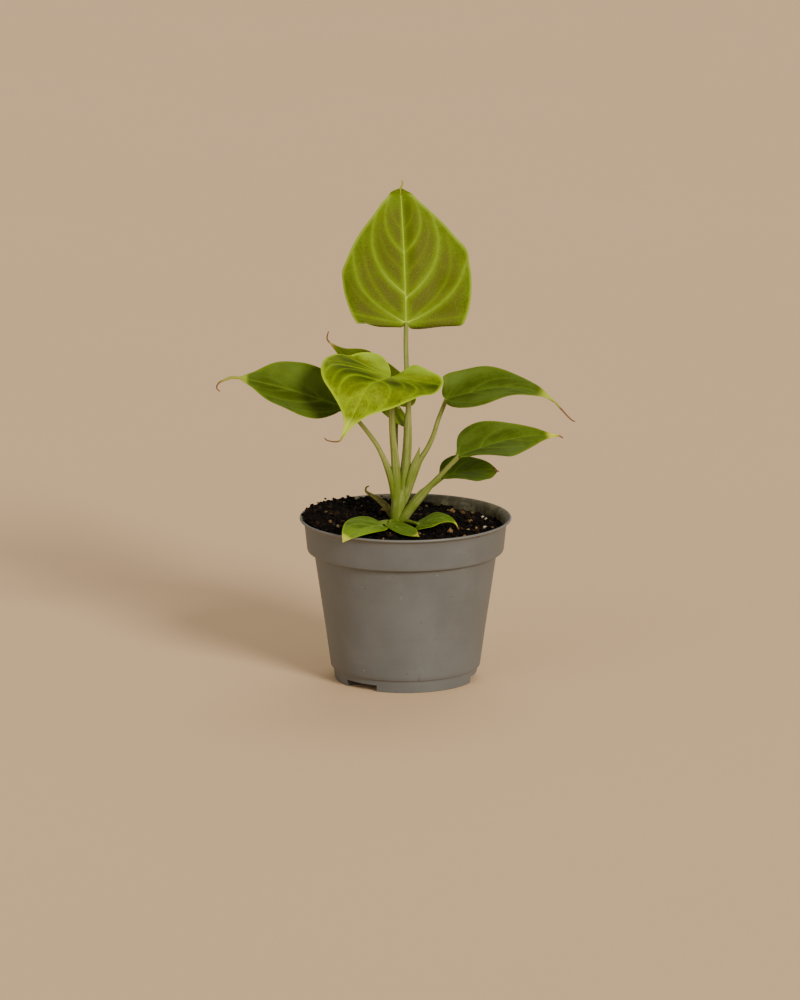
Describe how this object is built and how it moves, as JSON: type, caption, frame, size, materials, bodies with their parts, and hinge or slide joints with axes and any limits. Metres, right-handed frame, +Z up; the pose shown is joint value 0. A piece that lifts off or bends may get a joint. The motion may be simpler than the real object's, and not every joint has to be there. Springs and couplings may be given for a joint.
{
  "type": "potted philodendron verrucosum",
  "caption": "Young velvet-leaved aroid with heart-shaped blades on long stalks, growing in a round tapered plastic nursery pot filled with potting mix.",
  "frame": {"origin": "centre of the pot's underside, on the surface that it stands on", "axes": "+Z up along the pot's axis; +X to the right and +Y to the back, seen from the plant's front"},
  "size_m": [0.2024, 0.1244, 0.2816],
  "materials": {
    "pot_plastic": "matt warm grey moulded plastic, slightly soiled",
    "potting_mix": "dark crumbly potting mix with pale grains",
    "stalk": "pale green stalk with fine lengthwise streaks",
    "leaf_bronze_green": "velvety leaf, bronze between light green veins",
    "leaf_lime": "young lime green leaf",
    "leaf_green": "velvety mid green leaf with light veins",
    "leaf_olive": "velvety olive leaf",
    "leaf_shade": "velvety dark green leaf",
    "leaf_small": "small bright green leaf with a yellow tip",
    "dried": "dried brown plant sheath"
  },
  "bodies": {
    "root": {"pot": "pot_plastic", "soil": "potting_mix", "stem_and_petioles": "stalk", "leaf_top": "leaf_bronze_green", "leaf_front": "leaf_lime", "leaf_left": "leaf_green", "leaf_back": "leaf_olive", "leaf_right_upper": "leaf_green", "leaf_right_middle": "leaf_green", "leaf_right_lower": "leaf_shade", "small_leaf_left": "leaf_small", "small_leaf_front": "leaf_small", "small_leaf_right": "leaf_small", "dried_leaf": "dried"}
  },
  "joints": []
}
